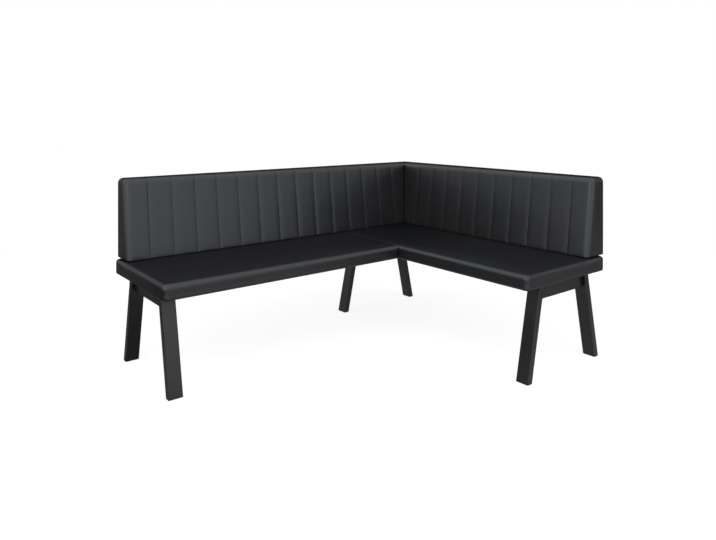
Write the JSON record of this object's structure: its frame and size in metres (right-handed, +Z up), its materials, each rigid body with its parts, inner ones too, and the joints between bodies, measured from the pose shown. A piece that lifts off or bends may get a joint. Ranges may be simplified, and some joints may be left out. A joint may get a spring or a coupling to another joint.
{
  "type": "corner bench",
  "caption": "L-shaped corner bench with an upholstered seat, raked backs with sewn vertical channels, and splayed trestle legs joined by crossbars.",
  "frame": {"origin": "on the floor, under the middle of the bench's overall length and depth", "axes": "+X runs along the long seat from its free end to the corner, +Y points from the sitters to the rear of the long back, +Z is up; the short wing runs from the corner towards -Y"},
  "size_m": [1.8, 1.375, 0.833],
  "materials": {
    "black_leatherette": "black grained leatherette with a soft sheen",
    "upholstery_foam": "open-cell foam",
    "dust_lining": "thin non-woven cloth",
    "felt": "dark pressed felt",
    "black_lacquered_wood": "satin black lacquer over a fine straight grain",
    "plywood": "raw plywood",
    "frame_timber": "raw planed timber",
    "beech_dowel": "raw beech",
    "black_steel": "satin black powder coat",
    "zinc_plated_steel": "zinc plated"
  },
  "bodies": {
    "root": {"bracket_bolts": "zinc_plated_steel", "bracket_screws": "zinc_plated_steel", "corner_crossbar": "black_lacquered_wood", "corner_front_glide": "felt", "corner_front_leg": "black_lacquered_wood", "corner_rear_glide": "felt", "corner_rear_leg": "black_lacquered_wood", "crossbar_bolts": "zinc_plated_steel", "joining_plates": "black_steel", "joining_screws": "zinc_plated_steel", "left_crossbar": "black_lacquered_wood", "left_front_glide": "felt", "left_front_leg": "black_lacquered_wood", "left_rear_glide": "felt", "left_rear_leg": "black_lacquered_wood", "leg_dowels": "beech_dowel", "long_back_bottom_rail": "frame_timber", "long_back_brackets": "black_steel", "long_back_cover": "black_leatherette", "long_back_foam": "upholstery_foam", "long_back_front_panel": "plywood", "long_back_rear_panel": "plywood", "long_back_ribs": "frame_timber", "long_back_top_rail": "frame_timber", "long_seat_cover": "black_leatherette", "long_seat_cross_rails": "frame_timber", "long_seat_deck": "plywood", "long_seat_foam": "upholstery_foam", "long_seat_front_rail": "frame_timber", "long_seat_lining": "dust_lining", "long_seat_rear_rail": "frame_timber", "right_crossbar": "black_lacquered_wood", "right_front_glide": "felt", "right_front_leg": "black_lacquered_wood", "right_rear_glide": "felt", "right_rear_leg": "black_lacquered_wood", "seat_t_nuts": "zinc_plated_steel", "short_back_bottom_rail": "frame_timber", "short_back_brackets": "black_steel", "short_back_cover": "black_leatherette", "short_back_foam": "upholstery_foam", "short_back_front_panel": "plywood", "short_back_rear_panel": "plywood", "short_back_ribs": "frame_timber", "short_back_top_rail": "frame_timber", "short_seat_cover": "black_leatherette", "short_seat_cross_rails": "frame_timber", "short_seat_deck": "plywood", "short_seat_foam": "upholstery_foam", "short_seat_front_rail": "frame_timber", "short_seat_lining": "dust_lining", "short_seat_rear_rail": "frame_timber"}
  },
  "joints": []
}
